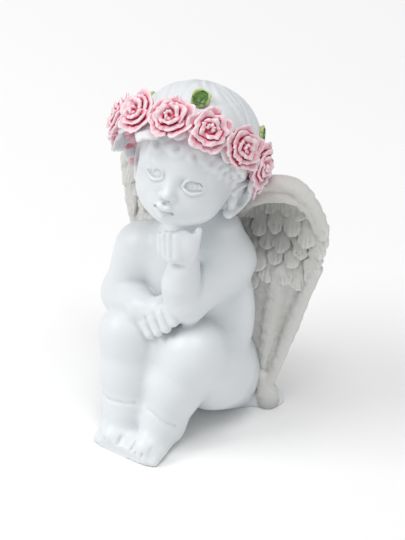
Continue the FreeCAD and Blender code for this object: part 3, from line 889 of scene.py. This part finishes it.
def place_roses(finish):
    """Put each rose on its flat of the band."""
    for number in range(1, ROSE_COUNT + 1):
        angle = ROSE_FIRST + (number - 1) * 360 / ROSE_COUNT
        spin = RING_SPIN @ turn("z", angle)
        seat = ring_origin() + spin @ (0, -RING_FLAT, 0)
        make_piece("rose_bloom_" + str(number), sculpt_rose(number), finish,
                   "rose_" + str(number), spin @ turn("x", 90), seat)


def sculpt_leaf(number):
    """A small thick leaf with a raised edge and a pressed vein; z points off the hair."""
    rng = np.random.default_rng(300 + number)
    clay = Clay((-5.2, -5.6, -1.6), (5.2, 5.6, 3.2), step=0.26)
    outline = []
    corners = (1.1, 0.9, 1, 1.15, 0.9, 1.1, 0.88, 1.12, 0.9)
    for a, reach in zip(np.linspace(0.5, 0.5 + 2 * math.pi, len(corners) + 1), corners):
        reach = reach + rng.uniform(-0.06, 0.06)
        raised = 0.7 + 0.6 * max(0, math.cos(a - 1.1))
        outline.append((3.0 * reach * math.cos(a), 3.6 * reach * math.sin(a), raised))
    outline.append(outline[0])
    clay.add(egg((0, 0, 0), (3.4, 4.0, 1.2)))
    clay.add(string(curve(outline, 4), 0.6), 0.35)
    press(clay, [(0, -3, 1.2), (0.1, 0, 1.3), (0, 3, 1.2)], 0.3, 0.4)
    points, faces, crease = clay.skin(reach=0.6)
    edge = np.sqrt((points[:, 0] / 3.3) ** 2 + (points[:, 1] / 4.0) ** 2)
    side = (points[:, 0] * 0.45 + points[:, 1] * 0.9) / 3.5
    rim = (edge - 0.72) / 0.25 * (0.35 + 1.3 * np.clip(side + 0.2, 0, 1))
    return (points, faces, crease), rim + 0.25 * waves(points, 2.5, number)


def place_leaves(finish):
    """Lay the leaves on the hair above the roses."""
    for number in range(1, LEAF_COUNT + 1):
        angle = LEAF_FIRST + (number - 1) * 360 / LEAF_COUNT
        spin = RING_SPIN @ turn("z", angle) @ turn("x", -LEAF_RISE) @ turn("x", 90)
        low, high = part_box("leaf_" + str(number))
        middle = (np.array(low) + np.array(high)) / 2 / MM
        skin, tone = sculpt_leaf(number)
        make_piece("leaf_blade_" + str(number), skin, finish,
                   "leaf_" + str(number), spin, middle - spin @ (0, 0, 0.6), tone)


def sculpt_band():
    """The white ring under the roses with ragged leaf tips showing below them."""
    rng = np.random.default_rng(7)
    clay = Clay((-33, -33, -15), (33, 33, 8), step=0.6)
    circle = [(25.6 * math.sin(a), -25.6 * math.cos(a), 0) for a in np.linspace(0, 2 * math.pi, 49)]
    clay.add(string(circle, 3.2))
    for number in range(20):
        angle = ROSE_FIRST + number * 18 + rng.uniform(-6, 6)
        spin = turn("z", angle)
        drop = rng.uniform(-9.5, -5)
        base = spin @ (0, -25.5, -1)
        tip = spin @ (rng.uniform(-4, 4), -26.4 - rng.uniform(0, 1.6), drop)
        size = (rng.uniform(2.4, 4.6), 1.1, abs(drop) * 0.55 + 1.5)
        lean = turn("y", rng.uniform(-25, 25)) @ turn("x", rng.uniform(-14, 0))
        clay.add(egg((base + tip) / 2, size, spin @ lean), 0.5)
        press(clay, [base, tip], 0.4, 0.6)
    points, faces, crease = clay.skin(reach=1.2)
    points = points + 0.25 * waves(points, 6, 12)[:, None]
    tone = (points[:, 2] + 6.0) / 4 + 0.35 * waves(points, 5, 3)
    return (points, faces, crease), tone


# ---- materials

class Finish:
    """A node material built step by step."""

    def __init__(self, name):
        self.material = bpy.data.materials.new(name)
        self.material.use_nodes = True
        self.nodes = self.material.node_tree.nodes
        self.links = self.material.node_tree.links
        self.shader = self.nodes["Principled BSDF"]
        self.place = self.nodes.new("ShaderNodeTexCoord").outputs["Object"]

    def node(self, kind, sockets, **settings):
        """A new node with its settings made, and its sockets linked or set."""
        node = self.nodes.new(kind)
        for name, value in settings.items():
            setattr(node, name, value)
        for name, value in sockets.items():
            if isinstance(value, tuple):
                node.inputs[name].default_value = (*value, 1)
            elif isinstance(value, (int, float)):
                node.inputs[name].default_value = value
            else:
                self.links.new(value, node.inputs[name])
        return node

    def noise(self, scale, detail=3.0, rough=0.55):
        sockets = {"Scale": scale, "Detail": detail, "Roughness": rough, "Vector": self.place}
        return self.node("ShaderNodeTexNoise", sockets).outputs["Fac"]

    def dots(self, scale, size, share):
        """Rare small round marks: 1 inside a mark, 0 outside."""
        cells = self.node("ShaderNodeTexVoronoi", {"Scale": scale, "Vector": self.place})
        stops = ((0, (1, 1, 1)), (size, (1, 1, 1)), (size * 1.6, (0, 0, 0)))
        near = self.ramp(cells.outputs["Distance"], stops)
        pick = self.node("ShaderNodeSeparateColor", {"Color": cells.outputs["Color"]})
        return self.math("MULTIPLY", near, self.math("LESS_THAN", pick.outputs["Red"], share))

    def attribute(self, name):
        return self.node("ShaderNodeAttribute", {}, attribute_name=name).outputs["Fac"]

    def grainy(self, name, grain, amount):
        """A value of the surface, broken up by a grain."""
        uneven = self.math("MULTIPLY", self.math("SUBTRACT", grain, 0.5), amount)
        return self.math("ADD", self.attribute(name), uneven)

    def math(self, kind, a, b):
        return self.node("ShaderNodeMath", {0: a, 1: b}, operation=kind).outputs["Value"]

    def ramp(self, value, stops):
        node = self.node("ShaderNodeValToRGB", {"Fac": value})
        points = node.color_ramp.elements
        while len(points) < len(stops):
            points.new(0.5)
        for point, (place, colour) in zip(points, stops):
            point.position = place
            point.color = (*colour, 1)
        return node.outputs["Color"]

    def mix(self, share, first, second, amount=1.0):
        """Blend two colours by a share, weakened by an amount."""
        if amount < 1:
            share = self.math("MULTIPLY", share, amount)
        return self.node("ShaderNodeMix", {0: share, 6: first, 7: second}, data_type="RGBA").outputs[2]

    def colour(self, value):
        self.links.new(value, self.shader.inputs["Base Color"])

    def roughness(self, value, low, high):
        node = self.node("ShaderNodeMapRange", {"To Min": low, "To Max": high, "Value": value})
        self.links.new(node.outputs["Result"], self.shader.inputs["Roughness"])

    def bump(self, *layers):
        """Stack bumps given as height, strength and distance in metres."""
        below = {}
        for height, strength, distance in layers:
            sockets = {"Strength": strength, "Distance": distance, "Height": height, **below}
            below = {"Normal": self.node("ShaderNodeBump", sockets).outputs["Normal"]}
        self.links.new(below["Normal"], self.shader.inputs["Normal"])


def body_resin():
    """Cool white satin resin with pinholes, greyer in folds from painted shade and paler on ridges from
    painted light.
    """
    f = Finish("body_resin")
    # painted shade: the ramp greys the resin where the crease value is high, in folds and creases, and pales
    # it on ridges
    stops = ((0.30, (0.86, 0.885, 0.90)), (0.50, (0.78, 0.815, 0.835)), (0.66, (0.58, 0.615, 0.63)))
    base = f.ramp(f.attribute("crease"), stops)
    toned = f.mix(f.noise(45), base, (0.70, 0.735, 0.75), 0.22)
    # pinholes: dark dots of painted shade inside the holes, with a shallow bump below
    holes = f.dots(170, 0.05, 0.14)
    f.colour(f.mix(holes, toned, (0.30, 0.31, 0.31), 0.55))
    f.roughness(f.noise(260), 0.31, 0.46)
    solid = f.math("SUBTRACT", 1.0, holes)
    f.bump((f.noise(120, 2), 0.45, 0.0004), (f.noise(1400), 0.4, 0.00008), (solid, 0.7, 0.00015))
    f.shader.inputs["Specular IOR Level"].default_value = 0.42
    return f.material


def wing_resin():
    """Matt warm-grey resin, darkened by painted shade in the carved lines, the hollow under the rim and
    round the foot.
    """
    f = Finish("wing_resin")
    grain = f.noise(700, 4, 0.65)
    # painted shade: the ramp darkens the resin where the crease value is high, in the carved lines and
    # between feathers
    stops = ((0.34, (0.80, 0.80, 0.785)), (0.50, (0.70, 0.70, 0.68)), (0.60, (0.46, 0.455, 0.43)),
             (0.72, (0.26, 0.255, 0.235)))
    base = f.ramp(f.grainy("crease", grain, 0.10), stops)
    cloudy = f.mix(f.noise(60), base, (0.60, 0.585, 0.54), 0.25)
    # painted shade from the tone attribute: the hollow under the rim and the foot
    toned = f.mix(f.attribute("tone"), cloudy, (0.27, 0.27, 0.255), 0.88)
    f.colour(f.mix(f.dots(420, 0.12, 0.10), toned, (0.25, 0.24, 0.22), 0.35))
    f.roughness(grain, 0.62, 0.85)
    f.bump((f.noise(300), 0.35, 0.0003), (grain, 0.45, 0.00012))
    return f.material


def rose_paint():
    """Pale pink paint rubbed off the rims and pooled red in the folds, the folds deepened further with
    painted shade.
    """
    f = Finish("rose_paint")
    patch = f.noise(420, 4, 0.6)
    # the crease ramp is real paint pooled red in the folds, deepened by painted shade
    stops = ((0.32, (0.90, 0.80, 0.83)), (0.45, (0.87, 0.60, 0.66)), (0.54, (0.80, 0.30, 0.40)),
             (0.63, (0.62, 0.045, 0.11)))
    base = f.ramp(f.grainy("crease", patch, 0.26), stops)
    f.colour(f.mix(f.dots(520, 0.16, 0.16), base, (0.86, 0.84, 0.85), 0.6))
    f.roughness(patch, 0.38, 0.62)
    f.bump((f.noise(500), 0.4, 0.00025), (f.noise(1600), 0.3, 0.00008))
    return f.material


def leaf_paint():
    """Glossy dark green with a yellow-green edge."""
    f = Finish("leaf_paint")
    mottle = f.noise(600, 4, 0.6)
    stops = ((0.35, (0.028, 0.085, 0.010)), (0.55, (0.075, 0.19, 0.022)), (0.72, (0.20, 0.34, 0.06)))
    edge = f.ramp(f.attribute("tone"), ((0.2, (0, 0, 0)), (0.7, (1, 1, 1))))
    f.colour(f.mix(edge, f.ramp(mottle, stops), (0.52, 0.62, 0.24)))
    f.roughness(mottle, 0.22, 0.42)
    f.shader.inputs["Coat Weight"].default_value = 0.35
    f.shader.inputs["Coat Roughness"].default_value = 0.15
    f.bump((f.noise(700), 0.4, 0.0002))
    return f.material


def band_resin():
    """White resin, greyed by painted shade in its creases, stained pink where the rose paint ran over."""
    f = Finish("band_resin")
    # painted shade: the ramp greys the white resin where the crease value is high, between the leaf tips
    stops = ((0.30, (0.84, 0.855, 0.865)), (0.50, (0.74, 0.765, 0.78)), (0.68, (0.50, 0.52, 0.53)))
    base = f.ramp(f.attribute("crease"), stops)
    stain = f.ramp(f.attribute("tone"), ((0.35, (0, 0, 0)), (0.8, (1, 1, 1))))
    pink = f.ramp(f.noise(350, 4), ((0.4, (0.86, 0.62, 0.67)), (0.6, (0.72, 0.24, 0.33))))
    f.colour(f.mix(stain, base, pink))
    f.roughness(f.noise(300), 0.42, 0.6)
    f.bump((f.noise(260), 0.3, 0.0003), (f.noise(1300), 0.25, 0.00008))
    return f.material


def dowel_resin():
    """Plain off-white rod with fine turning marks."""
    f = Finish("dowel_resin")
    grain = f.noise(900, 4)
    f.colour(f.ramp(grain, ((0.3, (0.55, 0.53, 0.48)), (0.7, (0.68, 0.66, 0.60)))))
    f.roughness(grain, 0.5, 0.7)
    f.bump((grain, 0.3, 0.0001))
    return f.material


def floor_finish():
    """Pale matt table top with a faint mottle."""
    f = Finish("floor_matt")
    cloud = f.noise(3, 2)
    f.colour(f.ramp(cloud, ((0.3, (0.955, 0.955, 0.955)), (0.7, (0.975, 0.975, 0.975)))))
    f.roughness(cloud, 0.75, 0.85)
    f.bump((f.noise(400, 2), 0.05, 0.0001))
    return f.material


# ---- light, view

CAMERA_TURN = 37
CAMERA_RISE = 32
CAMERA_FAR = 0.9
CAMERA_AIM = (0.013, 0.011, 0.070)
CAMERA_LENS = 157.2
CAMERA_SHIFT = (-0.023148, -0.014815)
FLOOR_REACH = 4.0
SURROUND_LIGHT = 0.44
FIGURE_MIDDLE = (0, 0, 0.07)
SOFTBOX_SIZE = 1.2
SOFTBOX_POWER = 22


def add_camera():
    """A long lens, turned towards the figure's left side and looking down on it."""
    a = math.radians(CAMERA_TURN)
    e = math.radians(CAMERA_RISE)
    back = Vector((math.sin(a) * math.cos(e), -math.cos(a) * math.cos(e), math.sin(e)))
    data = bpy.data.cameras.new("camera")
    camera = bpy.data.objects.new("camera", data)
    bpy.context.scene.collection.objects.link(camera)
    camera.rotation_mode = "QUATERNION"
    camera.rotation_quaternion = (-back).to_track_quat("-Z", "Y")
    camera.location = Vector(CAMERA_AIM) + back * CAMERA_FAR
    data.lens = CAMERA_LENS
    data.shift_x, data.shift_y = CAMERA_SHIFT
    bpy.context.scene.camera = camera


def add_softbox(name, place):
    """A square area light aimed at the figure."""
    data = bpy.data.lights.new(name, "AREA")
    data.size = SOFTBOX_SIZE
    data.energy = SOFTBOX_POWER
    lamp = bpy.data.objects.new(name, data)
    lamp.location = place
    lamp.rotation_mode = "QUATERNION"
    lamp.rotation_quaternion = (Vector(FIGURE_MIDDLE) - Vector(place)).to_track_quat("-Z", "Y")
    bpy.context.scene.collection.objects.link(lamp)


def add_stage():
    """Pale floor, even surroundings and soft lights."""
    mesh = bpy.data.meshes.new("floor")
    corners = [(x * FLOOR_REACH, y * FLOOR_REACH, 0) for x, y in ((-1, -1), (1, -1), (1, 1), (-1, 1))]
    mesh.from_pydata(corners, [], [(0, 1, 2, 3)])
    floor = bpy.data.objects.new("floor", mesh)
    bpy.context.scene.collection.objects.link(floor)
    mesh.materials.append(floor_finish())
    world = bpy.data.worlds.new("surroundings")
    world.use_nodes = True
    light = world.node_tree.nodes["Background"].inputs
    light["Color"].default_value = (1, 1, 1, 1)
    light["Strength"].default_value = SURROUND_LIGHT
    bpy.context.scene.world = world
    add_softbox("key", (-1.3, -1.2, 1.6))
    add_softbox("top", (0.4, -0.3, 2.3))
    bpy.context.scene.view_settings.view_transform = "Standard"


# ---- assembly

white = body_resin()
grey = wing_resin()
make_piece("body_sculpt", sculpt_body(), white, "body_casting")
make_piece("head_sculpt", sculpt_head(), white, "head_casting", HEAD_SPIN, HEAD_CENTRE)
wing, wing_painted_shade = sculpt_wing()
for side, sign, skin in (("left", 1, wing), ("right", -1, mirrored(wing))):
    make_piece(side + "_wing_sculpt", skin, grey, side + "_wing",
               turn("z", sign * WING_SWEEP), WING_ROOT, wing_painted_shade)
band, band_tone = sculpt_band()
make_piece("garland_leaves", band, band_resin(), "garland_band", RING_SPIN, ring_origin(),
           band_tone)
place_roses(rose_paint())
place_leaves(leaf_paint())

dowel = dowel_resin()
for node in ("neck_dowel", "wing_dowels"):
    pin = bpy.data.objects[node]
    pin.data.materials.clear()
    pin.data.materials.append(dowel)

add_stage()
add_camera()
